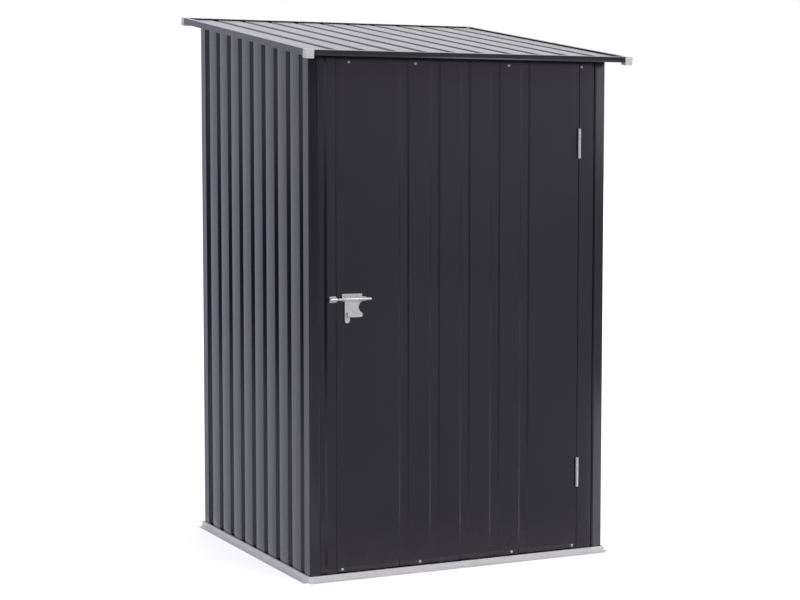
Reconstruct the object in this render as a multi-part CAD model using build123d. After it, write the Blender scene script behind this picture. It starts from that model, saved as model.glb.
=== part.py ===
from build123d import *
import os
from math import atan2, cos, hypot, radians, sin, tan

os.makedirs("parts", exist_ok=True)

# Small lean-to metal tool shed: ribbed steel sheet on a base rail frame, a roof that falls
# from back to front, and one side-hung door with a bolt latch on the low front.
# Millimetres. X runs along the front to the right, Y runs back into the shed, Z is up.
# The origin is on the ground under the middle of the roof.

# Overall size
shed_height = 1600.0
wall_width = 936.0
wall_depth = 856.0
front_overhang = 85.0
back_overhang = 67.0
side_overhang = 41.0
roof_pitch = 8.27

# Sheet steel
sheet = 1.0
rail_sheet = 1.2
seat_gap = 0.3
moving_gap = 5.0

# Ribbed sheet of the walls and the roof
rib_pitch = 93.0
rib_crest = 63.5
rib_slope = 7.0
wall_rib_depth = 10.0
least_recess = 20.0
side_rib_shift = -3.75
roof_rib_pitch = 90.1
roof_rib_depth = 9.0
roof_rib_shift = -4.0
least_roof_lap = 15.0

# Base rails
rail_height = 16.5
rail_ledge = 6.5
ground_flange = 15.0
rail_tread = 30.0

# Corner posts
post_face = 33.0
post_side = 39.0
post_return = 23.0

# Door opening
jamb_width = 49.5
door_thickness = 19.0
pad_set_back = 5.0
pad_height = 5.0
jamb_recess = 16.0
jamb_return = 24.0

# Pressed pads of the door
groove_pitch = 96.0
groove_width = 29.0
groove_middle = 11.8
least_end_pad = 160.0
pad_slope = 6.0
door_margin = 1.0
door_bottom_margin = 8.5

# Folded channels
channel_flange = 25.0
top_rail_leg = 20.0

# Roof edge
cap_size = 24.0
cap_proud = 2.0
cap_proud_top = 0.5
cap_chamfer = 1.0
trim_height = 14.0
trim_flange = 16.0
trim_skirt = 4.0
trim_chamfer = 3.0

# Hinges
hinge_height = 86.0
hinge_radius = 4.5
hinge_pin_radius = 2.0
hinge_clearance = 0.1
hinge_gap = 0.5
hinge_leaf = 1.2
hinge_leaf_depth = 22.0
upper_hinge_drop = 227.9
lower_hinge_rise = 223.5

# Bolt latch
bolt_rise = 51.3
bolt_radius = 3.5
bolt_clearance = 0.1
bolt_length = 96.5
bolt_tip_set_back = 2.0
bolt_chamfer = 0.8
latch_sheet = 1.2
sleeve_wall = 1.3
sleeve_lift = 0.6
keeper_length = 20.0
keeper_clearance = 0.8
keeper_foot = 3.0
latch_left = 12.5
latch_width = 71.0
latch_bar_width = 60.7
latch_top = 14.5
latch_band_drop = 6.0
latch_body_inset = 3.0
latch_body_width = 33.0
latch_drop = 34.0
latch_leg_drop = 54.0
latch_leg_width = 11.5
latch_knuckle = 5.5
hasp_gap = 1.0
hasp_width = latch_width - 2 * (latch_knuckle + hasp_gap)
hasp_sheet = 1.5
hasp_offset = 1.8
hasp_drop = 66.0
hasp_shoulder_drop = 12.0
hasp_shoulder_width = 45.5
hasp_waist_drop = 25.0
hasp_waist_width = 41.0
hasp_tab_drop = 36.0
hasp_tab_width = 54.0
hasp_tab_round = 7.0
hasp_corner = 4.0
hasp_foot_drop = 50.0
hasp_leg_width = 15.0
slot_drop = 44.0
slot_width = 6.0
slot_length = 16.0
slot_inset = 7.2
staple_width = 2.5
staple_outer = 5.5
staple_wall = 2.2
staple_reach = 7.3

# Places worked out from the sizes above
roof_width = wall_width + 2 * side_overhang
roof_depth = wall_depth + front_overhang + back_overhang
wall_x = wall_width / 2
front_y = -roof_depth / 2 + front_overhang
back_y = roof_depth / 2 - back_overhang
pitch_angle = radians(roof_pitch)
roof_length = (roof_depth - cap_size * sin(pitch_angle)) / cos(pitch_angle)
roof_middle_z = shed_height - roof_length / 2 * sin(pitch_angle) - cap_size / 2 * cos(pitch_angle)
roof_plane = Pos(0, 0, roof_middle_z) * Rot(roof_pitch, 0, 0)
trim_top = cap_size / 2 - cap_proud_top
trim_bottom = trim_top - trim_height
roof_seat = trim_bottom + rail_sheet
trim_front = roof_length / 2 - cap_proud

pad_y = front_y + pad_set_back
margin_y = pad_y + pad_height
post_inner_x = wall_x - post_face
jamb_x = post_inner_x - jamb_width
door_x = jamb_x - moving_gap
door_width = 2 * door_x
door_bottom = rail_height + moving_gap
front_trim_z = roof_middle_z - trim_front * sin(pitch_angle) + trim_bottom * cos(pitch_angle)
door_top = front_trim_z - moving_gap
header_z = door_top + moving_gap
door_back = margin_y + door_thickness

hinge_x = door_x + moving_gap / 2
hinge_y = pad_y - hinge_radius - hinge_gap
upper_hinge_z = door_top - upper_hinge_drop
lower_hinge_z = door_bottom + lower_hinge_rise
bolt_z = (door_bottom + door_top) / 2 + bolt_rise
sleeve_radius = bolt_radius + bolt_clearance + sleeve_wall
plate_y = pad_y - latch_sheet
bolt_y = plate_y - sleeve_lift - sleeve_radius


def offset_path(points, thickness):
    """The same path moved sideways with mitred corners, to the left if thickness is positive."""
    moved = []
    for i, (x, y) in enumerate(points):
        before = points[max(i - 1, 0)]
        after = points[min(i + 1, len(points) - 1)]
        a_in = atan2(y - before[1], x - before[0]) if i > 0 else None
        a_out = atan2(after[1] - y, after[0] - x) if i < len(points) - 1 else None
        a_in = a_out if a_in is None else a_in
        a_out = a_in if a_out is None else a_out
        nx = -sin(a_in) - sin(a_out)
        ny = cos(a_in) + cos(a_out)
        reach = 2 * thickness / hypot(nx, ny) ** 2
        moved.append((x + nx * reach, y + ny * reach))
    return moved


def folded(points, thickness):
    """Closed outline of a sheet folded along a path."""
    return points + offset_path(points, thickness)[::-1]


def along_z(outline, low, high):
    wire = Wire.make_polygon([(x, y, low) for x, y in outline])
    return Solid.extrude(Face(wire), Vector(0, 0, high - low))


def along_x(outline, low, high):
    wire = Wire.make_polygon([(low, y, z) for y, z in outline])
    return Solid.extrude(Face(wire), Vector(high - low, 0, 0))


def along_y(outline, low, high):
    wire = Wire.make_polygon([(x, low, z) for x, z in outline])
    return Solid.extrude(Face(wire), Vector(0, high - low, 0))


def block(x0, x1, y0, y1, z0, z1):
    return Pos((x0 + x1) / 2, (y0 + y1) / 2, (z0 + z1) / 2) * Box(x1 - x0, y1 - y0, z1 - z0)


def mirrored(shape):
    return mirror(shape, about=Plane.YZ)


def roof_z(y, lift):
    """Height at plan position y of the plane that lies lift above the middle of the roof."""
    return roof_middle_z + y * tan(pitch_angle) + lift / cos(pitch_angle)


def under_roof(shape):
    """A wall piece cut to the slope just under the roof sheet."""
    above = roof_plane * block(
        -roof_width, roof_width, -roof_length, roof_length, roof_seat - seat_gap, shed_height)
    return shape - above


def rib_path(length, lap, depth, shift=0.0):
    """Path of a ribbed sheet: laps and crests at 0, recesses at depth."""
    recess = rib_pitch - rib_crest
    clear = length - 2 * lap
    count = int((clear - 2 * least_recess + recess) // rib_pitch)
    start = lap + (clear - count * rib_pitch + recess) / 2 + shift
    points = [(0, 0), (lap, 0), (lap + rib_slope, depth)]
    for i in range(count):
        s = start + i * rib_pitch
        points += [(s - rib_slope, depth), (s, 0), (s + rib_crest, 0), (s + rib_crest + rib_slope, depth)]
    return points + [(length - lap - rib_slope, depth), (length - lap, 0), (length, 0)]


# Base rails: a web with a ground flange outside, a ledge on top and a tread that the walls stand on
def base_rail(half_length):
    section = [
        (-ground_flange, 0), (rail_tread, 0), (rail_tread, rail_sheet), (rail_sheet, rail_sheet),
        (rail_sheet, rail_height - rail_sheet), (rail_ledge, rail_height - rail_sheet),
        (rail_ledge, rail_height), (0, rail_height), (0, rail_sheet), (-ground_flange, rail_sheet)]
    plan = [
        (-half_length, -ground_flange), (half_length, -ground_flange), (half_length, 0),
        (half_length - rail_tread, rail_tread), (-half_length + rail_tread, rail_tread),
        (-half_length, 0)]
    return along_x(section, -half_length, half_length) & along_z(plan, 0, rail_height)


def base_rails():
    across = base_rail(wall_x + rail_ledge)
    along = base_rail(wall_depth / 2 + rail_ledge)
    middle_y = (front_y + back_y) / 2
    left = Pos(-wall_x - rail_ledge, middle_y, 0) * Rot(0, 0, -90) * along
    return {
        "front_base_rail": Pos(0, front_y - rail_ledge, 0) * across,
        "back_base_rail": Pos(0, back_y + rail_ledge, 0) * Rot(0, 0, 180) * across,
        "left_base_rail": left,
        "right_base_rail": mirrored(left),
    }


# Corner posts: the front ones have a third side that the jamb is fixed to
def posts():
    front = [
        (-wall_x, front_y + post_side), (-wall_x, front_y), (-post_inner_x, front_y),
        (-post_inner_x, front_y + post_return)]
    back = [(-post_inner_x, back_y), (-wall_x, back_y), (-wall_x, back_y - post_side)]
    front_left = under_roof(along_z(folded(front, sheet), rail_sheet, shed_height))
    back_left = under_roof(along_z(folded(back, sheet), rail_sheet, shed_height))
    return {
        "front_left_post": front_left,
        "front_right_post": mirrored(front_left),
        "back_left_post": back_left,
        "back_right_post": mirrored(back_left),
    }


# Walls: ribbed sheets that lap behind the post flanges at both edges
def walls():
    end = sheet + seat_gap
    side_run = wall_depth - 2 * end
    side_ribs = rib_path(side_run, post_side - end, wall_rib_depth, side_rib_shift)
    side = [(-wall_x + sheet + d, front_y + end + s) for s, d in side_ribs]
    left = under_roof(along_z(folded(side, -sheet), rail_sheet, shed_height))
    back_end = 2 * sheet + seat_gap
    back_run = wall_width - 2 * back_end
    back_ribs = rib_path(back_run, post_face - back_end, wall_rib_depth)
    back = [(-wall_x + back_end + s, back_y - sheet - d) for s, d in back_ribs]
    return {
        "left_wall": left,
        "right_wall": mirrored(left),
        "back_wall": under_roof(along_z(folded(back, -sheet), rail_sheet, shed_height)),
    }


# Door frame: folded jambs beside the door and a header over it
def door_frame():
    foot = post_inner_x - jamb_recess
    jamb = [
        (-post_inner_x, front_y + post_return), (-post_inner_x, margin_y), (-foot, margin_y),
        (-foot + rib_slope, pad_y), (-jamb_x, pad_y), (-jamb_x, pad_y + jamb_return)]
    left = along_z(folded(jamb, sheet), rail_sheet, header_z)
    back = margin_y + channel_flange
    header = [
        (back, header_z), (margin_y, header_z), (margin_y, roof_z(margin_y, roof_seat)),
        (back, roof_z(back, roof_seat))]
    return {
        "left_jamb": left,
        "right_jamb": mirrored(left),
        "door_header": along_x(folded(header, -rail_sheet), -post_inner_x, post_inner_x),
    }


# Top rails: angles inside the walls, under the roof sheet
def top_rails():
    face_x = wall_x - 2 * sheet - wall_rib_depth
    angle = [
        (-face_x, roof_seat - channel_flange), (-face_x, roof_seat),
        (-face_x + top_rail_leg, roof_seat)]
    start = front_y + post_side
    back_face = back_y - 2 * sheet - wall_rib_depth
    back_edge = back_face - top_rail_leg
    stop = back_edge - seat_gap
    low = start / cos(pitch_angle)
    high = (stop + (roof_seat - channel_flange) * sin(pitch_angle)) / cos(pitch_angle)
    left = roof_plane * along_y(folded(angle, -rail_sheet), low, high)
    back_z = roof_z(back_face, roof_seat)
    back = [
        (back_edge, roof_z(back_edge, roof_seat)), (back_face, back_z),
        (back_face, back_z - channel_flange)]
    return {
        "left_top_rail": left,
        "right_top_rail": mirrored(left),
        "back_top_rail": along_x(folded(back, -rail_sheet), -face_x + seat_gap, face_x - seat_gap),
    }


# Roof: one ribbed sheet held in a frame of channel trims with a cap on each corner
def roof_sheet():
    half_x = roof_width / 2 - cap_proud - rail_sheet - seat_gap
    back_y_edge = roof_length / 2 - cap_proud - rail_sheet - seat_gap
    front_y_edge = -trim_front + trim_chamfer + rail_sheet
    recess = roof_rib_pitch - rib_crest
    count = int((2 * half_x - 2 * least_roof_lap + recess) // roof_rib_pitch)
    start = -(count * roof_rib_pitch - recess) / 2 + roof_rib_shift
    low, high = roof_seat, roof_seat + roof_rib_depth
    path = [(-half_x, low)]
    for i in range(count):
        x = start + i * roof_rib_pitch
        path += [(x - rib_slope, low), (x, high), (x + rib_crest, high), (x + rib_crest + rib_slope, low)]
    path.append((half_x, low))
    body = along_y(folded(path, sheet), front_y_edge, back_y_edge)
    cut_x = roof_width / 2 - cap_size - seat_gap
    cut_y = roof_length / 2 - cap_size - seat_gap
    for side in (-1, 1):
        for end in (-1, 1):
            notch = block(cut_x, roof_width, cut_y, roof_length, -cap_size, cap_size)
            notch = notch if side > 0 else mirror(notch, about=Plane.YZ)
            body -= notch if end > 0 else mirror(notch, about=Plane.XZ)
    return roof_plane * body


def trim_section(skirt):
    foot = trim_bottom - skirt
    return [
        (trim_flange, trim_top), (0, trim_top), (0, foot), (rail_sheet, foot),
        (rail_sheet, trim_bottom), (trim_flange, trim_bottom), (trim_flange, roof_seat),
        (rail_sheet, roof_seat), (rail_sheet, trim_top - rail_sheet), (trim_flange, trim_top - rail_sheet)]


def front_trim_section():
    inner = rail_sheet
    return [
        (trim_flange, trim_top), (0, trim_top), (0, trim_bottom + trim_chamfer),
        (trim_chamfer, trim_bottom), (trim_flange, trim_bottom), (trim_flange, roof_seat),
        (trim_chamfer + inner / 2, roof_seat), (inner, roof_seat + trim_chamfer - inner / 2),
        (inner, trim_top - rail_sheet), (trim_flange, trim_top - rail_sheet)]


def roof_trims():
    edge_x = roof_width / 2 - cap_proud
    half_x = roof_width / 2 - cap_size
    half_y = roof_length / 2 - cap_size
    front = [(-trim_front + u, n) for u, n in front_trim_section()]
    back = [(trim_front - u, n) for u, n in trim_section(trim_skirt)]
    side = [(-edge_x + u, n) for u, n in trim_section(trim_skirt)]
    left = roof_plane * along_y(side, -half_y, half_y)
    return {
        "front_roof_trim": roof_plane * along_x(front, -half_x, half_x),
        "back_roof_trim": roof_plane * along_x(back, -half_x, half_x),
        "left_roof_trim": left,
        "right_roof_trim": mirrored(left),
    }


def roof_caps():
    cap = Box(cap_size, cap_size, cap_size)
    cap = chamfer(cap.edges(), cap_chamfer)
    x = roof_width / 2 - cap_size / 2
    y = roof_length / 2 - cap_size / 2
    return {
        "front_left_roof_cap": roof_plane * Pos(-x, -y, 0) * cap,
        "front_right_roof_cap": roof_plane * Pos(x, -y, 0) * cap,
        "back_left_roof_cap": roof_plane * Pos(-x, y, 0) * cap,
        "back_right_roof_cap": roof_plane * Pos(x, y, 0) * cap,
    }


# Door: a sheet with six pressed pads between grooves, on a frame of folded channels
def pad_block(x0, x1, base_y):
    """A pad with sloped sides: its foot on the sheet, its face proud of it. It runs out at the top."""
    top = door_top + 2 * pad_slope
    low = door_bottom + door_bottom_margin
    foot = Face(Wire.make_polygon([
        (x0, base_y, low), (x1, base_y, low), (x1, base_y, top), (x0, base_y, top)]))
    face_y = base_y - pad_height
    face = Face(Wire.make_polygon([
        (x0 + pad_slope, face_y, low + pad_slope), (x1 - pad_slope, face_y, low + pad_slope),
        (x1 - pad_slope, face_y, top - pad_slope), (x0 + pad_slope, face_y, top - pad_slope)]))
    return loft([foot, face])


def door_sheet():
    grooves = 1 + int((door_width - 2 * least_end_pad) // groove_pitch)
    middles = [groove_middle + (i - (grooves - 1) / 2) * groove_pitch for i in range(grooves)]
    floor = groove_width / 2 - pad_slope
    starts = [-door_x + door_margin] + [m + floor for m in middles]
    ends = [m - floor for m in middles] + [door_x - door_margin]
    body = block(-door_x, door_x, margin_y, margin_y + sheet, door_bottom, door_top)
    for x0, x1 in zip(starts, ends):
        body += pad_block(x0, x1, margin_y)
    for x0, x1 in zip(starts, ends):
        body -= pad_block(x0, x1, margin_y + sheet)
    limit = block(-door_x, door_x, front_y, door_back, door_bottom, door_top)
    return body & limit


def door_channels():
    front = margin_y + sheet
    inner_x = door_x - channel_flange
    stile = [(-inner_x, front), (-door_x, front), (-door_x, door_back), (-inner_x, door_back)]
    left = along_z(folded(stile, -sheet), door_bottom, door_top)
    low = [
        (front, door_bottom + channel_flange), (front, door_bottom), (door_back, door_bottom),
        (door_back, door_bottom + channel_flange)]
    high = [(y, door_bottom + door_top - z) for y, z in low]
    return {
        "door_left_stile": left,
        "door_right_stile": mirrored(left),
        "door_bottom_rail": along_x(folded(low, sheet), -inner_x, inner_x),
        "door_top_rail": along_x(folded(high, -sheet), -inner_x, inner_x),
    }


# Hinges: three knuckles on a pin; the leaves lie in the gap beside the door
def hinge(middle_z):
    low = middle_z - hinge_height / 2
    third = hinge_height / 3
    leaf_front = hinge_y + hinge_radius + hinge_gap
    leaf_back = pad_y + hinge_leaf_depth
    root_y = hinge_y + hinge_radius / 2

    def knuckle(z0, z1, radius):
        return Pos(hinge_x, hinge_y, (z0 + z1) / 2) * Cylinder(radius, z1 - z0)

    frame_x = jamb_x - hinge_leaf
    frame = block(frame_x, jamb_x, leaf_front, leaf_back, low, low + hinge_height)
    for z0 in (low, low + 2 * third):
        frame += knuckle(z0, z0 + third, hinge_radius)
        frame += block(frame_x, jamb_x, root_y, leaf_front, z0, z0 + third)
    frame += knuckle(low, low + hinge_height, hinge_pin_radius)
    door_leaf = block(door_x, door_x + hinge_leaf, leaf_front, leaf_back, low, low + hinge_height)
    z0, z1 = low + third + hinge_gap, low + 2 * third - hinge_gap
    door_leaf += knuckle(z0, z1, hinge_radius)
    door_leaf += block(door_x, door_x + hinge_leaf, root_y, leaf_front, z0, z1)
    door_leaf -= knuckle(z0, z1, hinge_pin_radius + hinge_clearance)
    return frame, door_leaf


def hinges():
    upper_frame, upper_door = hinge(upper_hinge_z)
    lower_frame, lower_door = hinge(lower_hinge_z)
    return {
        "upper_hinge_frame_leaf": upper_frame,
        "upper_hinge_door_leaf": upper_door,
        "lower_hinge_frame_leaf": lower_frame,
        "lower_hinge_door_leaf": lower_door,
    }


# Latch: a bolt in a plate with two knuckles, a keeper on the jamb and a hasp over a staple
def rod(x0, x1, radius):
    return Pos((x0 + x1) / 2, bolt_y, bolt_z) * Rot(0, 90, 0) * Cylinder(radius, x1 - x0)


def strap(x0, x1, inner, outer, seat_y):
    """A strap bent over the bolt, with straight sides down to what it sits on."""
    body = rod(x0, x1, outer) + block(x0, x1, bolt_y, seat_y, bolt_z - outer, bolt_z + outer)
    hollow = rod(x0, x1, inner) + block(x0, x1, bolt_y, seat_y, bolt_z - inner, bolt_z + inner)
    return body - hollow


def latch():
    bolt_left = -door_x + bolt_tip_set_back
    bolt = chamfer(rod(bolt_left, bolt_left + bolt_length, bolt_radius).edges(), bolt_chamfer)

    keeper_inner = bolt_radius + keeper_clearance
    keeper_outer = keeper_inner + latch_sheet
    keeper_right = -jamb_x - seat_gap
    keeper_left = keeper_right - keeper_length
    keeper = strap(keeper_left, keeper_right, keeper_inner, keeper_outer, pad_y)
    foot_y = pad_y - latch_sheet
    reach = keeper_outer + keeper_foot
    keeper += block(keeper_left, keeper_right, foot_y, pad_y, bolt_z + keeper_inner, bolt_z + reach)
    keeper += block(keeper_left, keeper_right, foot_y, pad_y, bolt_z - reach, bolt_z - keeper_inner)

    left = -door_x + latch_left
    right = left + latch_width
    bore = bolt_radius + bolt_clearance
    hasp_left = left + latch_knuckle + hasp_gap
    body = hasp_left + latch_body_inset
    band_z = bolt_z - latch_band_drop
    plate = block(left, left + latch_bar_width, plate_y, pad_y, band_z, bolt_z + latch_top)
    plate += block(left, right, plate_y, pad_y, band_z, bolt_z + latch_band_drop)
    plate += block(body, body + latch_body_width, plate_y, pad_y, bolt_z - latch_drop, bolt_z)
    plate += block(body, body + latch_leg_width, plate_y, pad_y, bolt_z - latch_leg_drop, bolt_z)
    plate += strap(left, left + latch_knuckle, bore, sleeve_radius, plate_y)
    plate += strap(right - latch_knuckle, right, bore, sleeve_radius, plate_y)

    hasp_right = hasp_left + hasp_width
    slot_x = hasp_left + slot_inset
    slot_z = bolt_z - slot_drop
    eye = staple_outer - staple_wall
    crown_y = plate_y - staple_reach
    staple = Pos(slot_x, crown_y, slot_z) * Rot(0, 90, 0) * Cylinder(staple_outer, staple_width)
    x0, x1 = slot_x - staple_width / 2, slot_x + staple_width / 2
    staple += block(x0, x1, crown_y, plate_y, slot_z - staple_outer, slot_z + staple_outer)
    staple -= Pos(slot_x, crown_y, slot_z) * Rot(0, 90, 0) * Cylinder(eye, staple_width)
    staple -= block(x0, x1, crown_y, plate_y, slot_z - eye, slot_z + eye)

    front = bolt_y + hasp_offset
    with BuildSketch(Plane.XZ) as outline:
        with BuildLine():
            top = bolt_z - bolt_radius
            foot_z = bolt_z - hasp_foot_drop
            shoulder = (hasp_left + hasp_shoulder_width, bolt_z - hasp_shoulder_drop)
            waist = (hasp_left + hasp_waist_width, bolt_z - hasp_waist_drop)
            tab_x = hasp_left + hasp_tab_width
            tab_z = bolt_z - hasp_tab_drop
            leg_x = hasp_left + hasp_leg_width
            tip_z = bolt_z - hasp_drop
            tip_r = hasp_leg_width / 2
            Line((hasp_left, top), (hasp_right, top))
            ThreePointArc((hasp_right, top), shoulder, waist)
            Line(waist, (tab_x - hasp_tab_round, tab_z))
            CenterArc((tab_x - hasp_tab_round, tab_z - hasp_tab_round), hasp_tab_round, 0, 90)
            Line((tab_x, tab_z - hasp_tab_round), (tab_x, foot_z + hasp_corner))
            Line((tab_x, foot_z + hasp_corner), (tab_x - hasp_corner, foot_z))
            Line((tab_x - hasp_corner, foot_z), (leg_x, foot_z))
            Line((leg_x, foot_z), (leg_x, tip_z + tip_r))
            ThreePointArc(
                (leg_x, tip_z + tip_r), (hasp_left + tip_r, tip_z), (hasp_left, tip_z + tip_r))
            Line((hasp_left, tip_z + tip_r), (hasp_left, top))
        make_face()
        with Locations((slot_x, slot_z)):
            SlotOverall(slot_length, slot_width, rotation=90, mode=Mode.SUBTRACT)
    hasp = Pos(0, front, 0) * Solid.extrude(outline.sketch.faces()[0], Vector(0, hasp_sheet, 0))
    hasp += rod(hasp_left, hasp_right, sleeve_radius)
    hasp -= rod(hasp_left, hasp_right, bore)
    return {
        "bolt_rod": bolt, "bolt_keeper": keeper, "latch_plate": plate,
        "latch_staple": staple, "hasp": hasp,
    }


pieces = {}
for group in (base_rails, posts, walls, door_frame, top_rails, roof_trims, roof_caps, door_channels,
              hinges, latch):
    pieces.update(group())
pieces["roof_sheet"] = roof_sheet()
pieces["door_sheet"] = door_sheet()

for name, shape in pieces.items():
    export_step(shape, f"parts/{name}.step")
print(len(pieces), "pieces")
print("door opening", 2 * jamb_x, "x", header_z - rail_height)
print("door", door_width, "x", door_top - door_bottom, "from z", door_bottom, "to", door_top)
print("hinge axis", hinge_x, hinge_y, " bolt axis", bolt_y, bolt_z)
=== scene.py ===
# %% [markdown]
# # A small metal tool shed
#
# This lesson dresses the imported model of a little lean-to shed: charcoal ribbed sheet steel on a
# pale rail frame, one door with a bolt latch, and a roof that falls towards the door. The packed
# model is the fixed frame. It says where each part is, and what moves with what. Blender adds
# what a plain solid lacks: rounded bends in the sheet, screws, rivets, paint, zinc and light.
#
# The real shed is folded from thin coil-coated steel. Everything that catches the eye on it is
# a bend: the ribs of the walls, the pressed pads of the door, the folded posts and trims. So
# the lesson folds its sheets from paths, as a press brake does, and spends its faces on bends.

from math import cos, pi, radians, sin, tan

import bmesh
import bpy
from mathutils import Matrix, Vector


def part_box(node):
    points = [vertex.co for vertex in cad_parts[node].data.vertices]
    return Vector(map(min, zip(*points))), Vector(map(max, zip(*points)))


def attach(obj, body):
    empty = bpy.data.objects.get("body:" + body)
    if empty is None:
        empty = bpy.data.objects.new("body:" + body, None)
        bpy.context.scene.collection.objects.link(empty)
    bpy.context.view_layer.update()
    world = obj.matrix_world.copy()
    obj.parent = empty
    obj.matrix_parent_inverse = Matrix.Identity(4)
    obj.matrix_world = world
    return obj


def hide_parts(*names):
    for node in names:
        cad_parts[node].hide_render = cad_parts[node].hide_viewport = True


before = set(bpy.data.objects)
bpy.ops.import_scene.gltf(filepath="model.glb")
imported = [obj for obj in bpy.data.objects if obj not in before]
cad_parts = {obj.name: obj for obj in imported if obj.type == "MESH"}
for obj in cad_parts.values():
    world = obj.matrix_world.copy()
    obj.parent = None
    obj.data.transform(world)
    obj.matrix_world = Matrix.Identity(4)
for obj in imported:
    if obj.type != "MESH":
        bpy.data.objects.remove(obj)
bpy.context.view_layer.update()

# %% [markdown]
# ## Sizes
#
# The solids are drawn in millimetres and Blender works in metres. The sizes below are those the
# sheet metal shop would want: where the walls stand, how steep the roof is, and how deep the
# ribs are pressed. The frame answers the rest, because each node's box gives its place.

# %% The shed's sizes, in metres
MM = 0.001
SHEET = 1.0 * MM
RAIL_SHEET = 1.2 * MM
SEAT = 0.3 * MM
GAP = 5.0 * MM


def low(node):
    """Lowest corner of a CAD node."""
    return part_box(node)[0]


def high(node):
    """Highest corner of a CAD node."""
    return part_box(node)[1]


wall_x = high("front_right_post").x
front_y = low("front_right_post").y
back_y = high("back_right_post").y
post_inner_x = low("front_right_post").x
door_x = high("door_sheet").x
door_low, door_high = low("door_sheet").z, high("door_sheet").z
pad_y = low("door_sheet").y
print("wall x", round(wall_x, 4), "front y", round(front_y, 4), "back y", round(back_y, 4))
print("door from", round(door_low, 4), "to", round(door_high, 4))

# %% The roof's slope and its middle
pitch = radians(8.27)
roof_width = 1018 * MM
roof_depth = 1008 * MM
shed_height = 1600 * MM
cap_size = 24 * MM
roof_length = (roof_depth - cap_size * sin(pitch)) / cos(pitch)
roof_middle_z = shed_height - roof_length / 2 * sin(pitch) - cap_size / 2 * cos(pitch)
trim_top = 11.5 * MM
trim_bottom = -2.5 * MM
roof_seat = trim_bottom + RAIL_SHEET
cap_proud = 2 * MM


def roof_point(x, along, lift):
    """A point of the sloping roof: along runs up the slope, lift stands square to it."""
    y = along * cos(pitch) - lift * sin(pitch)
    return Vector((x, y, roof_middle_z + along * sin(pitch) + lift * cos(pitch)))


def under_roof(y):
    """Height at which an upright sheet ends, just under the roof sheet."""
    return roof_middle_z + y * tan(pitch) + (roof_seat - SEAT) / cos(pitch)


print("roof runs", round(roof_length, 4), "up the slope; its middle is at", round(roof_middle_z, 4))

# %% [markdown]
# ## Finishes
#
# Four finishes cover the shed. The charcoal coat is a thin satin paint over galvanised steel:
# almost black seen square on, and much paler seen along the sheet, because its clear skin then
# mirrors the studio. So its colour is kept dark and the gloss does the rest. Paint never has one
# value all over: it gets a faint change of tone, orange-peel in its skin, soft waves in the
# thin sheet under it, streaks where rain has dried, and dust near the ground.
#
# An image texture would give this too, but node noise has no resolution limit and no seams, and
# it is laid in the object's own space, so it moves with the door.

# %% Helpers for node materials
def new_finish(name):
    """A node material, its tree and its main shader."""
    material = bpy.data.materials.new(name)
    material.use_nodes = True
    return material, material.node_tree, material.node_tree.nodes["Principled BSDF"]


def object_space(tree, stretch=(1, 1, 1)):
    """Coordinates in the object's own space, stretched."""
    coords = tree.nodes.new("ShaderNodeTexCoord")
    mapping = tree.nodes.new("ShaderNodeMapping")
    mapping.inputs["Scale"].default_value = stretch
    tree.links.new(coords.outputs["Object"], mapping.inputs["Vector"])
    return mapping.outputs["Vector"]


def noise(tree, coords, scale, detail=2.0):
    """Soft noise from 0 to 1. Scale counts its patches per metre."""
    node = tree.nodes.new("ShaderNodeTexNoise")
    node.inputs["Scale"].default_value = scale
    node.inputs["Detail"].default_value = detail
    tree.links.new(coords, node.inputs["Vector"])
    return node.outputs["Fac"]


def ranged(tree, value, start, end, to_low, to_high):
    """The value's span from start to end, spread over another span and held at its ends."""
    node = tree.nodes.new("ShaderNodeMapRange")
    sockets = ("From Min", "From Max", "To Min", "To Max")
    for socket, number in zip(sockets, (start, end, to_low, to_high)):
        node.inputs[socket].default_value = number
    tree.links.new(value, node.inputs["Value"])
    return node.outputs["Result"]


def multiply(tree, a, b):
    """The product of two values."""
    node = tree.nodes.new("ShaderNodeMath")
    node.operation = "MULTIPLY"
    tree.links.new(a, node.inputs[0])
    tree.links.new(b, node.inputs[1])
    return node.outputs["Value"]


# %% Helpers for colour and relief
def ramp(tree, value, dark, pale, start=0.35, end=0.65):
    """A colour between dark and pale, by value."""
    node = tree.nodes.new("ShaderNodeValToRGB")
    node.color_ramp.elements[0].position = start
    node.color_ramp.elements[1].position = end
    node.color_ramp.elements[0].color = (*dark, 1)
    node.color_ramp.elements[1].color = (*pale, 1)
    tree.links.new(value, node.inputs["Fac"])
    return node.outputs["Color"]


def blended(tree, share, under, over):
    """The colour under, covered by the colour over in the given share."""
    node = tree.nodes.new("ShaderNodeMix")
    node.data_type = "RGBA"
    tree.links.new(share, node.inputs[0])
    tree.links.new(under, node.inputs[6])
    node.inputs[7].default_value = (*over, 1)
    return node.outputs[2]


def relief(tree, height, depth, strength, before=None):
    """Bumps of the given depth in metres, laid over an earlier relief."""
    node = tree.nodes.new("ShaderNodeBump")
    node.inputs["Distance"].default_value = depth
    node.inputs["Strength"].default_value = strength
    tree.links.new(height, node.inputs["Height"])
    if before is not None:
        tree.links.new(before, node.inputs["Normal"])
    return node.outputs["Normal"]


# %% Charcoal paint
CHARCOAL_DARK = (0.0090, 0.0086, 0.0125)
CHARCOAL_PALE = (0.0112, 0.0107, 0.0152)
DUST = (0.16, 0.15, 0.14)
DUST_LOW, DUST_HIGH = 0.02, 0.16
MOST_DUST = 0.06
PAINT_GLOSS = (0.13, 0.17)
PAINT_IOR = 1.5
PAINT_SHEEN = (0.97, 0.93, 1.0)
RAIN_STREAKS = (18, 18, 0.9)
WAVE_DEPTH = 0.8 * MM
PEEL_DEPTH = 0.03 * MM


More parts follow.
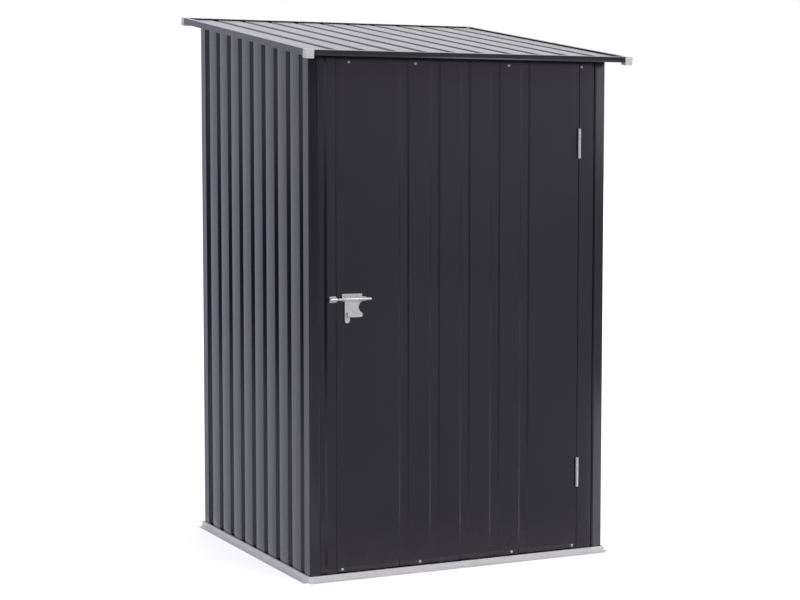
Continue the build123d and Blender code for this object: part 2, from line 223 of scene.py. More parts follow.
def charcoal_paint():
    """Satin paint with rain streaks, dust at the foot, soft waves and orange-peel."""
    material, tree, shader = new_finish("charcoal paint")
    here = object_space(tree)
    tone = ramp(tree, noise(tree, here, 3.0, 3), CHARCOAL_DARK, CHARCOAL_PALE)
    height = tree.nodes.new("ShaderNodeSeparateXYZ")
    tree.links.new(here, height.inputs["Vector"])
    near_ground = ranged(tree, height.outputs["Z"], DUST_LOW, DUST_HIGH, 1.0, 0.0)
    patches = ranged(tree, noise(tree, here, 22.0, 4), 0.35, 0.75, 0.0, MOST_DUST)
    dusty = multiply(tree, near_ground, patches)
    tree.links.new(blended(tree, dusty, tone, DUST), shader.inputs["Base Color"])
    streaks = noise(tree, object_space(tree, RAIN_STREAKS), 1.0, 2)
    tree.links.new(ranged(tree, streaks, 0.3, 0.7, *PAINT_GLOSS), shader.inputs["Roughness"])
    shader.inputs["IOR"].default_value = PAINT_IOR
    shader.inputs["Specular Tint"].default_value = (*PAINT_SHEEN, 1)
    waves = relief(tree, noise(tree, here, 5.0, 1), WAVE_DEPTH, 0.25)
    skin = relief(tree, noise(tree, here, 900.0, 1), PEEL_DEPTH, 0.20, waves)
    tree.links.new(skin, shader.inputs["Normal"])
    return material


charcoal = charcoal_paint()
print("made", charcoal.name)

# %% [markdown]
# The base rails are pale coated zinc: a fine spangle, a little dull, with darker dull marks here
# and there. The latch and hinges are bright zinc plate, brushed along their length. The roof
# caps are moulded plastic with a fine matte grain.

# %% Pale rail zinc
RAIL_DARK = (0.630, 0.622, 0.615)
RAIL_PALE = (0.690, 0.681, 0.672)
RAIL_MARKS = (0.38, 0.37, 0.37)
RAIL_GLOSS = (0.38, 0.55)
SPANGLES_PER_METRE = 160


def rail_zinc():
    """Pale zinc coat with a fine spangle and dull marks."""
    material, tree, shader = new_finish("pale rail zinc")
    here = object_space(tree)
    spangle = tree.nodes.new("ShaderNodeTexVoronoi")
    spangle.inputs["Scale"].default_value = SPANGLES_PER_METRE
    tree.links.new(here, spangle.inputs["Vector"])
    flakes = ranged(tree, spangle.outputs["Distance"], 0.0, 0.9, 0.3, 0.7)
    tone = ramp(tree, flakes, RAIL_DARK, RAIL_PALE)
    marks = ranged(tree, noise(tree, here, 9.0, 5), 0.55, 0.80, 0.0, 0.22)
    tree.links.new(blended(tree, marks, tone, RAIL_MARKS), shader.inputs["Base Color"])
    gloss = ranged(tree, noise(tree, here, 30.0, 3), 0.3, 0.7, *RAIL_GLOSS)
    tree.links.new(gloss, shader.inputs["Roughness"])
    shader.inputs["Metallic"].default_value = 0.25
    grain = relief(tree, spangle.outputs["Distance"], 0.08 * MM, 0.25)
    tree.links.new(grain, shader.inputs["Normal"])
    return material


pale_zinc = rail_zinc()
print("made", pale_zinc.name)


# %% Bright zinc plate
PLATE_DARK = (0.53, 0.524, 0.520)
PLATE_PALE = (0.64, 0.633, 0.627)
HANDLED = (0.36, 0.35, 0.35)
PLATE_GLOSS = (0.32, 0.48)
BRUSH_LINES = (60, 900, 900)


def bright_plate():
    """Bright zinc, brushed along x and a little dulled where it is handled."""
    material, tree, shader = new_finish("bright zinc plate")
    here = object_space(tree)
    tone = ramp(tree, noise(tree, here, 120.0, 3), PLATE_DARK, PLATE_PALE)
    handled = ranged(tree, noise(tree, here, 45.0, 4), 0.52, 0.78, 0.0, 0.30)
    tree.links.new(blended(tree, handled, tone, HANDLED), shader.inputs["Base Color"])
    brushed = noise(tree, object_space(tree, BRUSH_LINES), 1.0, 2)
    tree.links.new(ranged(tree, brushed, 0.25, 0.75, *PLATE_GLOSS), shader.inputs["Roughness"])
    shader.inputs["Metallic"].default_value = 0.78
    tree.links.new(relief(tree, brushed, 0.02 * MM, 0.25), shader.inputs["Normal"])
    return material


bright_zinc = bright_plate()
print("made", bright_zinc.name)


# %% Moulded cap plastic
CAP_DARK = (0.520, 0.513, 0.507)
CAP_PALE = (0.585, 0.578, 0.570)
CAP_GLOSS = (0.40, 0.52)
CAP_IOR = 1.46


def moulded_plastic():
    """Pale grey plastic with a fine matte grain."""
    material, tree, shader = new_finish("moulded grey plastic")
    here = object_space(tree)
    tone = ramp(tree, noise(tree, here, 40.0, 3), CAP_DARK, CAP_PALE)
    tree.links.new(tone, shader.inputs["Base Color"])
    grain = noise(tree, here, 1400.0, 2)
    tree.links.new(ranged(tree, grain, 0.3, 0.7, *CAP_GLOSS), shader.inputs["Roughness"])
    shader.inputs["IOR"].default_value = CAP_IOR
    tree.links.new(relief(tree, grain, 0.05 * MM, 0.3), shader.inputs["Normal"])
    return material


cap_plastic = moulded_plastic()
print("made", cap_plastic.name)

# %% [markdown]
# ## Folding sheet
#
# A press brake turns each corner of a strip into an arc. Here a path of corner points becomes a
# smooth path, a second path runs beside it at the sheet's thickness, and the two are joined
# into a closed skin that runs straight from one end to the other. A Solidify modifier on a
# single skin would do nearly the same, but it thins the sheet at the bends, and the ends
# could not be cut to the slope of the roof as simply.

# %% Rounded paths
BEND_STEPS = 4
MOST_CUT = 0.45


def bent(points, radius):
    """The path with each corner turned into a smooth bend."""
    corners = [Vector(p) for p in points]
    path = [corners[0]]
    for before, corner, after in zip(corners, corners[1:], corners[2:]):
        back, ahead = before - corner, after - corner
        turn = pi - back.angle(ahead)
        cut = min(radius * tan(turn / 2), back.length * MOST_CUT, ahead.length * MOST_CUT)
        start = corner + back.normalized() * cut
        end = corner + ahead.normalized() * cut
        for step in range(BEND_STEPS + 1):
            t = step / BEND_STEPS
            path.append(start * (1 - t) ** 2 + corner * 2 * t * (1 - t) + end * t * t)
    return path + [corners[-1]]


def beside(path, thickness):
    """A path beside the first one, to its left if thickness is positive."""
    moved = []
    for i, point in enumerate(path):
        runs = []
        if i > 0:
            runs.append((point - path[i - 1]).normalized())
        if i < len(path) - 1:
            runs.append((path[i + 1] - point).normalized())
        side = sum((Vector((-run.y, run.x)) for run in runs), Vector((0, 0)))
        moved.append(point + side * (thickness * len(runs) / side.length_squared))
    return moved


# %% From a mesh to a finished piece
SHARP = radians(38)


def finished(name, mesh, body, material, slot, *nodes):
    """An object that rides on a body, with a material, standing for CAD nodes if any are named."""
    mesh.materials.clear()
    mesh.materials.append(material)
    mesh.polygons.foreach_set("use_smooth", [True] * len(mesh.polygons))
    mesh.set_sharp_from_angle(angle=SHARP)
    piece = bpy.data.objects.new(name, mesh)
    bpy.context.scene.collection.objects.link(piece)
    even = piece.modifiers.new("even shading", "WEIGHTED_NORMAL")
    even.keep_sharp = True
    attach(piece, body)
    if nodes:
        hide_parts(*nodes)
    return piece


def mesh_from(name, points, faces):
    """A mesh whose faces all look outward."""
    mesh = bpy.data.meshes.new(name)
    mesh.from_pydata([tuple(p) for p in points], [], faces)
    shape = bmesh.new()
    shape.from_mesh(mesh)
    bmesh.ops.recalc_face_normals(shape, faces=shape.faces)
    shape.to_mesh(mesh)
    shape.free()
    return mesh


# %% A folded sheet between two ends
def folded_sheet(name, path, thickness, first_end, last_end):
    """A closed sheet along a path. The ends are functions from a path point to a place."""
    twin = beside(path, thickness)
    n = len(path)
    points = [end(p) for end in (first_end, last_end) for line in (path, twin) for p in line]
    faces = []
    for i in range(n - 1):
        j = i + 1
        faces.append((i, j, 2 * n + j, 2 * n + i))
        faces.append((n + j, n + i, 3 * n + i, 3 * n + j))
        faces.append((j, i, n + i, n + j))
        faces.append((2 * n + i, 2 * n + j, 3 * n + j, 3 * n + i))
    for i in (0, n - 1):
        faces.append((i, 2 * n + i, 3 * n + i, n + i))
    return mesh_from(name, points, faces)


def upright(name, path, thickness, foot_z, head):
    """A sheet that stands on foot_z and ends at the height head(y)."""
    return folded_sheet(
        name, path, thickness, lambda p: (p.x, p.y, foot_z), lambda p: (p.x, p.y, head(p.y)))


print("folding tools are ready")

# %% [markdown]
# ## Ribbed walls
#
# Each wall is one sheet of ribbed steel: wide flat crests stand out, and narrow recesses sit
# between them. Seen from the front corner the crests mirror the pale studio and the
# recesses hide in their own shade, which gives the wall its stripes. The edges of the sheet lie
# flat, lapped inside the corner posts. The bends have a radius of about 4 mm. Thin sheet never
# leaves the rolls quite flat, so each crest gets a crown of less than a millimetre. That little
# bulge is what makes a real crest shade from pale at one edge to darker at the other.

# %% The rib pattern
RIB_PITCH = 93 * MM
RIB_CREST = 63.5 * MM
RIB_SLOPE = 7 * MM
WALL_RIB_DEPTH = 10 * MM
RIB_BEND = 4 * MM
LEAST_RECESS = 20 * MM
CROWN = 0.9 * MM
CROWN_STEPS = 8
LONG_RUN = 45 * MM
TUCK = 1.3 * MM


def ribs(length, lap, shift=0.0):
    """Path of a ribbed sheet as (distance along, depth)."""
    recess = RIB_PITCH - RIB_CREST
    clear = length - 2 * lap
    count = int((clear - 2 * LEAST_RECESS + recess) // RIB_PITCH)
    start = lap + (clear - count * RIB_PITCH + recess) / 2 + shift
    deep = WALL_RIB_DEPTH
    points = [(TUCK, 0), (lap, 0), (lap + RIB_SLOPE, deep)]
    for i in range(count):
        s = start + i * RIB_PITCH
        points += [(s - RIB_SLOPE, deep), (s, 0)]
        points += [(s + RIB_CREST, 0), (s + RIB_CREST + RIB_SLOPE, deep)]
    points += [(length - lap - RIB_SLOPE, deep), (length - lap, 0), (length - TUCK, 0)]
    return crowned(bent(points, RIB_BEND))


def crowned(path):
    """The path with its crests divided and bulged outward."""
    result = [path[0]]
    for before, after in zip(path, path[1:]):
        if (after - before).length > LONG_RUN:
            for k in range(1, CROWN_STEPS):
                t = k / CROWN_STEPS
                result.append(before.lerp(after, t) - Vector((0, CROWN * 4 * t * (1 - t))))
        result.append(after)
    return result


# %% Side walls
POST_SIDE = 39 * MM
POST_FACE = 33 * MM
SIDE_RIB_SHIFT = -3.75 * MM
lap_start = SHEET + SEAT
side_run = (back_y - front_y) - 2 * lap_start
side_ribs = ribs(side_run, POST_SIDE - lap_start, SIDE_RIB_SHIFT)

for side, node in ((-1, "left_wall"), (1, "right_wall")):
    path = [Vector((side * (wall_x - SHEET - d), front_y + lap_start + s)) for s, d in side_ribs]
    mesh = upright(node, path, side * SHEET, RAIL_SHEET, under_roof)
    finished(node + "_sheet", mesh, "shed", charcoal, "charcoal_paint", node)
    print(node, "has", len(mesh.polygons), "faces")

# %% Back wall
back_start = 2 * SHEET + SEAT
back_ribs = ribs(2 * wall_x - 2 * back_start, POST_FACE - back_start)
path = [Vector((-wall_x + back_start + s, back_y - SHEET - d)) for s, d in back_ribs]
mesh = upright("back_wall", path, -SHEET, RAIL_SHEET, under_roof)
finished("back_wall_sheet", mesh, "shed", charcoal, "charcoal_paint", "back_wall")
print("back wall has", len(mesh.polygons), "faces")

# %% [markdown]
# ## Corner posts, jambs and the head of the door
#
# A post is a strip folded round the corner. The front ones have a third side, turned back into
# the shed, that the jamb is screwed to. The jamb is a raised plane beside the door, and the left
# one has a shallow recess beside its post, so the post reads as a strip. The fold at the corner
# springs open by a degree or two, so the post's face mirrors another part of the studio than the
# door does: the left post looks darker than the door and the right one paler. The inner fold is
# a soft one, which leaves no hard black line between post and jamb.

# %% Corner posts
POST_RETURN = 23 * MM
POST_BEND = 2.5 * MM
POST_SPRING = 1.2 * MM
POST_CHAMFER = 3 * MM

for side, word in ((-1, "left"), (1, "right")):
    outer, inner = side * wall_x, side * post_inner_x
    front = [(outer, front_y + POST_SIDE), (outer, front_y + POST_SPRING),
             (inner + side * POST_CHAMFER, front_y), (inner, front_y + POST_CHAMFER),
             (inner, front_y + POST_RETURN)]
    back = [(inner, back_y), (outer, back_y), (outer, back_y - POST_SIDE)]
    for place, corners in (("front", front), ("back", back)):
        node = f"{place}_{word}_post"
        mesh = upright(node, bent(corners, POST_BEND), -side * SHEET, RAIL_SHEET, under_roof)
        finished(node + "_sheet", mesh, "shed", charcoal, "charcoal_paint", node)
print("four corner posts")

# %% Jambs beside the door
JAMB_RECESS = 16 * MM
JAMB_RETURN = 24 * MM
JAMB_BEND = 1.2 * MM
jamb_x = door_x + GAP
margin_y = high("left_jamb").y - JAMB_RETURN + GAP
header_z = high("left_jamb").z

foot = post_inner_x - JAMB_RECESS
recessed = [(post_inner_x, margin_y), (foot, margin_y), (foot - RIB_SLOPE, pad_y)]
flat = [(post_inner_x - SEAT, pad_y)]
for side, node, beside_post in ((-1, "left_jamb", recessed), (1, "right_jamb", flat)):
    corners = [(beside_post[0][0], front_y + POST_RETURN)] + beside_post
    corners += [(jamb_x, pad_y), (jamb_x, pad_y + JAMB_RETURN)]
    path = bent([(side * x, y) for x, y in corners], JAMB_BEND)
    mesh = upright(node, path, -side * SHEET, RAIL_SHEET, lambda y: header_z)
    finished(node + "_sheet", mesh, "shed", charcoal, "charcoal_paint", node)
print("jambs from", round(post_inner_x, 4), "to", round(jamb_x, 4))
print("the door's margin plane is at", round(margin_y, 4))

# %% [markdown]
# ## The door skin
#
# The skin is pressed from one sheet: six raised pads with narrow grooves between them, and a
# band along the foot that is set back by a millimetre. It could be folded like a wall, but the
# step at the band crosses the pads, so it is made as a grid. Its lines crowd together where the
# sheet slopes, and the rise of each point follows a soft step. The skin's free edges are
# turned back over the door's channels, so only a hairline is left beside the jamb and the head.

# %% Where the pads are
PAD_RISE = 5 * MM
PAD_SLOPE = 6 * MM
GROOVE_PITCH = 96 * MM
GROOVE_WIDTH = 33 * MM
GROOVE_FLOOR = GROOVE_WIDTH / 2 - PAD_SLOPE
GROOVE_MIDDLE = 13.8 * MM
GROOVE_DEPTH = 3 * MM
FOOT_MARGIN = 4.5 * MM
FOOT_SLOPE = 6 * MM
FOOT_STEP = 0.9 * MM
LATCH_HEM = 4.5 * MM
HINGE_HEM = 3.6 * MM
HEAD_HEM = 1.8 * MM
FOOT_HEM = 3.0 * MM
HEM_BEND = 1.2 * MM
HEM_DEPTH = 12 * MM
skin_left, skin_right = -door_x - LATCH_HEM, door_x + HINGE_HEM
grooves = [GROOVE_MIDDLE + i * GROOVE_PITCH for i in range(-2, 3)]
pad_starts = [g + GROOVE_FLOOR for g in grooves]
pad_ends = [g - GROOVE_FLOOR for g in grooves]
STEPS = 6


def soft_step(share):
    """0 at a pad's foot, 1 on its face, with a soft bend at both."""
    t = max(0.0, min(1.0, share))
    return t * t * (3 - 2 * t)


def rounded_edge(distance):
    """How far the turned edge falls back at a distance from the end of the skin."""
    t = max(0.0, 1 - distance / HEM_BEND)
    return HEM_BEND * (1 - (1 - t * t) ** 0.5) / PAD_RISE


def rise(x, z):
    """How far the skin stands out at a place on the door, from 0 to 1."""
    pad = soft_step((min(abs(x - g) for g in grooves) - GROOVE_FLOOR) / PAD_SLOPE)
    pad = 1 - (1 - pad) * GROOVE_DEPTH / PAD_RISE
    foot = soft_step((z - door_low - FOOT_MARGIN) / FOOT_SLOPE)
    step = (1 - foot) * FOOT_STEP / PAD_RISE
    return pad * (1 - step) - rounded_edge(min(x - skin_left, skin_right - x))


# %% Press the skin
def door_skin():
    """The skin as a grid of points, front and back, closed round its rim."""
    slope = [PAD_SLOPE * k / STEPS for k in range(STEPS + 1)]
    turn = [HEM_BEND * (1 - cos(pi / 2 * k / STEPS)) for k in range(STEPS + 1)]
    xs = {skin_left + t for t in turn} | {skin_right - t for t in turn}
    for a, b in zip(pad_starts, pad_ends):
        xs.update([a + s for s in slope] + [b - s for s in slope])
    xs = sorted(xs)
    foot = [door_low + FOOT_MARGIN + FOOT_SLOPE * k / STEPS for k in range(STEPS + 1)]
    zs = [door_low - FOOT_HEM] + foot + [door_high + HEAD_HEM]
    points = []
    for back in (0, SHEET):
        points += [(x, margin_y + back - PAD_RISE * rise(x, z), z) for z in zs for x in xs]
    wide, tall = len(xs), len(zs)
    behind = wide * tall
    faces = []
    for row in range(tall - 1):
        for i in range(row * wide, row * wide + wide - 1):
            faces.append((i, i + 1, i + wide + 1, i + wide))
            faces.append(tuple(behind + k for k in (i, i + wide, i + wide + 1, i + 1)))
    rim = list(range(wide)) + [wide * r + wide - 1 for r in range(1, tall)]
    rim += [wide * (tall - 1) + c for c in range(wide - 2, -1, -1)]
    rim += [wide * r for r in range(tall - 2, 0, -1)]
    for a, b in zip(rim, rim[1:] + rim[:1]):
        faces.append((a, b, behind + b, behind + a))
    return mesh_from("door_sheet", points, faces)


mesh = door_skin()
finished("door_skin", mesh, "door", charcoal, "charcoal_paint", "door_sheet")
print("door skin has", len(mesh.polygons), "faces and", len(grooves), "grooves")

# %% Turned-back edges of the door
for edge_x, inward, word in ((skin_left, 1, "latch"), (skin_right, -1, "hinge")):
    path = [Vector((edge_x, pad_y + HEM_BEND)), Vector((edge_x, pad_y + HEM_DEPTH))]
    mesh = folded_sheet(
        word, path, -inward * SHEET, lambda p: (p.x, p.y, door_low - FOOT_HEM),
        lambda p: (p.x, p.y, door_high + HEAD_HEM))
    finished(f"door_{word}_edge", mesh, "door", charcoal, "charcoal_paint")
print("door is", round(skin_right - skin_left, 4), "wide over its edges")

# %% [markdown]
# The head of the door frame has a small lip that hangs in front of the gap over the door. It
# closes that gap to a hairline, as the turned-back edges do at the sides.

# %% Lip of the head over the door
HEAD_GAP = 0.8 * MM
HEAD_LIP = 9 * MM
head_low = door_high + HEAD_HEM + HEAD_GAP
path = [Vector((-jamb_x, pad_y + SEAT)), Vector((jamb_x, pad_y + SEAT))]
mesh = folded_sheet(
    "head_lip", path, SHEET, lambda p: (p.x, p.y, head_low),
    lambda p: (p.x, p.y, head_low + HEAD_LIP))
finished("head_lip", mesh, "shed", charcoal, "charcoal_paint")
print("the head's lip hangs to", round(head_low, 4))

# %% [markdown]
# ## The roof
#
# The roof is one more ribbed sheet. It lies in a frame of channel trims: each trim grips the
# sheet's edge between a top lip and a flange underneath. The front trim's lower edge is folded
# under at a slant, so it shows a paler line under a dark band. A plastic cap covers each corner.

# %% Roof sheet
ROOF_RIB_PITCH = 90.1 * MM
ROOF_RIB_DEPTH = 9 * MM
ROOF_RIB_SHIFT = -4 * MM
ROOF_RIB_BEND = 3 * MM
LEAST_ROOF_LAP = 15 * MM
TRIM_CHAMFER = 3 * MM
half_roof = roof_width / 2 - cap_proud - RAIL_SHEET - SEAT
trim_front = roof_length / 2 - cap_proud
roof_from = -trim_front + TRIM_CHAMFER + RAIL_SHEET
roof_to = trim_front - RAIL_SHEET - SEAT


def roof_path():
    """Path of the roof sheet from side to side as (x, lift)."""
    recess = ROOF_RIB_PITCH - RIB_CREST
    count = int((2 * half_roof - 2 * LEAST_ROOF_LAP + recess) // ROOF_RIB_PITCH)
    start = -(count * ROOF_RIB_PITCH - recess) / 2 + ROOF_RIB_SHIFT
    seat, crest = roof_seat, roof_seat + ROOF_RIB_DEPTH
    points = [(-half_roof, seat)]
    for i in range(count):
        x = start + i * ROOF_RIB_PITCH
        points += [(x - RIB_SLOPE, seat), (x, crest)]
        points += [(x + RIB_CREST, crest), (x + RIB_CREST + RIB_SLOPE, seat)]
    return points + [(half_roof, seat)]


mesh = folded_sheet(
    "roof_sheet", bent(roof_path(), ROOF_RIB_BEND), SHEET,
    lambda p: roof_point(p.x, roof_from, p.y), lambda p: roof_point(p.x, roof_to, p.y))
roof_piece = finished("roof_ribbed_sheet", mesh, "shed", charcoal, "charcoal_paint", "roof_sheet")
print("roof sheet has", len(mesh.polygons), "faces")

# %% [markdown]
# The real sheet has its corners snipped out so that the caps fit. Four boxes cut them away with
# a Boolean, which is the quickest way to trim a finished sheet.

# %% Snip the corners of the roof sheet
CUTTER = 30 * MM


def box_mesh(name, lowest, highest, place):
    """A box between two corners, each of its points put through place."""
    corners = [place(x, y, z) for z in (lowest[2], highest[2]) for y in (lowest[1], highest[1])
               for x in (lowest[0], highest[0])]
    faces = [(0, 1, 3, 2), (4, 5, 7, 6), (0, 1, 5, 4), (2, 3, 7, 6), (0, 2, 6, 4), (1, 3, 7, 5)]
    return mesh_from(name, corners, faces)


def cut_away(piece, lowest, highest, place):
    """Cuts a box out of a piece and keeps only the result."""
    cutter = bpy.data.objects.new("cutter", box_mesh("cutter", lowest, highest, place))
    bpy.context.scene.collection.objects.link(cutter)
    cut = piece.modifiers.new("snip", "BOOLEAN")
    cut.operation, cut.solver, cut.object = "DIFFERENCE", "EXACT", cutter
    piece.modifiers.move(len(piece.modifiers) - 1, 0)
    with bpy.context.temp_override(object=piece, active_object=piece):
        bpy.ops.object.modifier_apply(modifier=cut.name)
    bpy.data.objects.remove(cutter)


snip_x = roof_width / 2 - cap_size - SEAT
snip_y = roof_length / 2 - cap_size - SEAT
for side in (-1, 1):
    for end in (-1, 1):
        xs = sorted((side * snip_x, side * (snip_x + CUTTER)))
        ys = sorted((end * snip_y, end * (snip_y + CUTTER)))
        cut_away(roof_piece, (xs[0], ys[0], -CUTTER), (xs[1], ys[1], CUTTER), roof_point)
print("snipped roof sheet has", len(roof_piece.data.polygons), "faces")

# %% Roof trims
TRIM_FLANGE = 16 * MM
TRIM_BEND = 1.6 * MM
edge_x = roof_width / 2 - cap_proud
trim_half_x = roof_width / 2 - cap_size
trim_half_y = roof_length / 2 - cap_size
channel = [
    (TRIM_FLANGE, trim_bottom), (0, trim_bottom), (0, trim_top), (TRIM_FLANGE, trim_top)]
SLANT_HIGH = 5.2 * MM
SLANT_DEEP = 3.6 * MM
FRONT_DROP = 2.0 * MM
front_bottom = trim_bottom - FRONT_DROP
front_channel = [
    (TRIM_FLANGE, front_bottom), (SLANT_DEEP, front_bottom), (0, front_bottom + SLANT_HIGH),
    (0, trim_top), (TRIM_FLANGE, trim_top)]


def trim(name, corners, place, half, *nodes):
    """A channel trim. place(depth, along, lift) puts a point of the section on the roof."""
    path = bent(corners, TRIM_BEND)
    mesh = folded_sheet(
        name, path, -RAIL_SHEET, lambda p: place(p.x, -half, p.y), lambda p: place(p.x, half, p.y))
    return finished(name, mesh, "shed", charcoal, "charcoal_paint", *nodes)


trim("front_trim_channel", front_channel, lambda d, a, n: roof_point(a, -trim_front + d, n),
     trim_half_x, "front_roof_trim")
trim("back_trim_channel", channel, lambda d, a, n: roof_point(a, trim_front - d, n),
     trim_half_x, "back_roof_trim")
trim("left_trim_channel", channel, lambda d, a, n: roof_point(-edge_x + d, a, n),
     trim_half_y, "left_roof_trim")
trim("right_trim_channel", channel, lambda d, a, n: roof_point(edge_x - d, a, n),
     trim_half_y, "right_roof_trim")
print("four roof trims")

# %% [markdown]
# A short lip hangs below the back and side trims, so that rain drips clear of the wall. It meets
# the trim where the flange turns inward. One path cannot fork, so the lip is a strip of its own.

# %% Drip skirts under the back and side trims
TRIM_SKIRT = 4 * MM


def skirt(name, place, half):
    """The lip that hangs below a trim."""
    path = [Vector((0, trim_bottom + RAIL_SHEET)), Vector((0, trim_bottom - TRIM_SKIRT))]
    mesh = folded_sheet(
        name, path, RAIL_SHEET, lambda p: place(p.x, -half, p.y), lambda p: place(p.x, half, p.y))
    return finished(name, mesh, "shed", charcoal, "charcoal_paint")


skirt("back_trim_skirt", lambda d, a, n: roof_point(a, trim_front - d, n), trim_half_x)
skirt("left_trim_skirt", lambda d, a, n: roof_point(-edge_x + d, a, n), trim_half_y)
skirt("right_trim_skirt", lambda d, a, n: roof_point(edge_x - d, a, n), trim_half_y)
print("three drip skirts")

# %% [markdown]
# ## Softened CAD parts
#
# Small parts keep their CAD shape and only lose their razor edges. A copy of the node's mesh is
# welded, its flat facets are merged, and a small Bevel rounds every hard edge. The edge then
# catches a thin line of light, which is most of what the eye reads as real metal or plastic.

# %% A softened copy of a node
WELD = 1e-6
FLAT = radians(2)


def softened(node, body, material, slot, width, segments=2):
    """The node's own shape with rounded edges of the given width."""
    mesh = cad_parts[node].data.copy()
    shape = bmesh.new()
    shape.from_mesh(mesh)
    bmesh.ops.remove_doubles(shape, verts=shape.verts, dist=WELD)
    bmesh.ops.dissolve_limit(shape, angle_limit=FLAT, verts=shape.verts, edges=shape.edges)
    shape.to_mesh(mesh)
    shape.free()
    piece = finished(node + "_finished", mesh, body, material, slot, node)
    edge = piece.modifiers.new("soft edges", "BEVEL")
    edge.width, edge.segments = width, segments
    edge.limit_method, edge.angle_limit = "ANGLE", SHARP
    piece.modifiers.move(len(piece.modifiers) - 1, 0)
    return piece


# %% Roof caps
CAP_EDGE = 1.2 * MM
for end in ("front", "back"):
    for side in ("left", "right"):
        softened(f"{end}_{side}_roof_cap", "shed", cap_plastic, "cap_plastic", CAP_EDGE, 3)
print("four roof caps")

# %% [markdown]
# The channels behind the door skin, the head and the top rails are seen only with the door open.
# Their CAD shape says all there is to say, so they are softened and painted.

# %% Door frame channels, head and top rails
CHANNEL_EDGE = 0.35 * MM
for node in ("door_left_stile", "door_right_stile", "door_top_rail", "door_bottom_rail"):
    softened(node, "door", charcoal, "charcoal_paint", CHANNEL_EDGE)
for node in ("door_header", "left_top_rail", "right_top_rail", "back_top_rail"):
    softened(node, "shed", charcoal, "charcoal_paint", CHANNEL_EDGE)
print("eight inner channels")

# %% [markdown]
# ## Base rails
#
# A rail is a pressed section: a web, a ledge on top that the wall sits behind, a tread inside
# and a flange outside that rests on the ground. The flanges stop square at the corners and
# leave a notch between them, while the inner legs meet in a mitre.

# %% Base rails
RAIL_EDGE = 0.5 * MM
for node in ("front_base_rail", "back_base_rail", "left_base_rail", "right_base_rail"):
    softened(node, "shed", pale_zinc, "base_rail_zinc", RAIL_EDGE, 3)
print("four base rails")

# %% [markdown]
# ## Hinges and latch
#
# The hinges are bright zinc, each with three knuckles on a pin. The bolt runs in two knuckles of
# its plate, the hasp hangs on the bolt between them, and a slot in the hasp drops over the staple.
# The keeper on the jamb is a strap bent over the bolt's path.

# %% Hinges and latch
zinc_parts = [
    ("upper_hinge_frame_leaf", "shed", 0.3), ("upper_hinge_door_leaf", "door", 0.3),
    ("lower_hinge_frame_leaf", "shed", 0.3), ("lower_hinge_door_leaf", "door", 0.3),
    ("bolt_keeper", "shed", 0.35), ("latch_plate", "door", 0.35), ("latch_staple", "door", 0.5),
    ("bolt_rod", "bolt", 0.2), ("hasp", "hasp_plate", 0.4)]
for node, body, edge in zinc_parts:
    softened(node, body, bright_zinc, "latch_zinc", edge * MM)
print(len(zinc_parts), "parts of the hinges and the latch")

# %% [markdown]
# ## Screws and rivets
#
# Pan-head screws stand along the front: four in a row at the head, the last of them in the jamb,
# and four along the foot of the door. A head is turned like a bowl on a lathe: a short profile
# spun round its axis. The cross of the driver recess is pressed in by lowering the points that
# fall inside a plus sign. Every screw shares one mesh, and each is turned a little differently,
# as a fitter leaves them.

# %% A turned head
def turned(name, profile, around, recess=None):
    """A head spun from a profile of (radius, height). It stands on z = 0."""
    points, faces = [], []
    for radius, height in profile:
        for k in range(around):
            angle = 2 * pi * k / around
            x, y = radius * cos(angle), radius * sin(angle)
            drop = recess(x, y) if recess else 0.0
            points.append((x, y, height - drop))
    for ring in range(len(profile) - 1):
        for k in range(around):
            a, b = ring * around + k, ring * around + (k + 1) % around
            faces.append((a, b, b + around, a + around))
    faces.append(tuple(range(around - 1, -1, -1)))
    last = (len(profile) - 1) * around
    faces.append(tuple(range(last, last + around)))
    return mesh_from(name, points, faces)


# %% Screw heads
SCREW_R = 4.0 * MM
SCREW_H = 2.2 * MM
SCREW_RIM = 0.4 * MM
RECESS_ARM = 2.3 * MM
RECESS_WIDE = 0.88 * MM
RECESS_DEEP = 1.3 * MM


def driver_cross(x, y):
    """Depth of the driver recess at a place on the head."""
    arm, across = max(abs(x), abs(y)), min(abs(x), abs(y))
    inside = max(0.0, 1 - across / RECESS_WIDE) * max(0.0, 1 - (arm / RECESS_ARM) ** 4)
    return RECESS_DEEP * min(1.0, inside * 1.8)


head_profile = [(SCREW_R * 1.08, 0), (SCREW_R * 1.08, 0.35 * MM), (SCREW_R * 1.01, SCREW_RIM)]
head_profile += [
    (SCREW_R * sin(a), SCREW_RIM + SCREW_H * (0.25 + 0.75 * cos(a)))
    for a in [radians(90 - d) for d in (0, 8, 18, 30, 42, 54, 64, 72, 79, 84, 88)]]
screw_mesh = turned("screw_head", head_profile, 48, driver_cross)
print("screw head has", len(screw_mesh.polygons), "faces")

# %% Drive the door screws
def drive(name, mesh, place, facing, body, turn=0.0):
    """Puts a head at a place on a surface that faces a direction."""
    piece = finished(name, mesh, body, bright_zinc, "latch_zinc")
    spin = Matrix.Rotation(turn, 4, "Z")
    aim = Vector(facing).to_track_quat("Z", "Y").to_matrix().to_4x4()
    piece.parent = None
    piece.matrix_world = Matrix.Translation(place) @ aim @ spin
    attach(piece, body)
    return piece


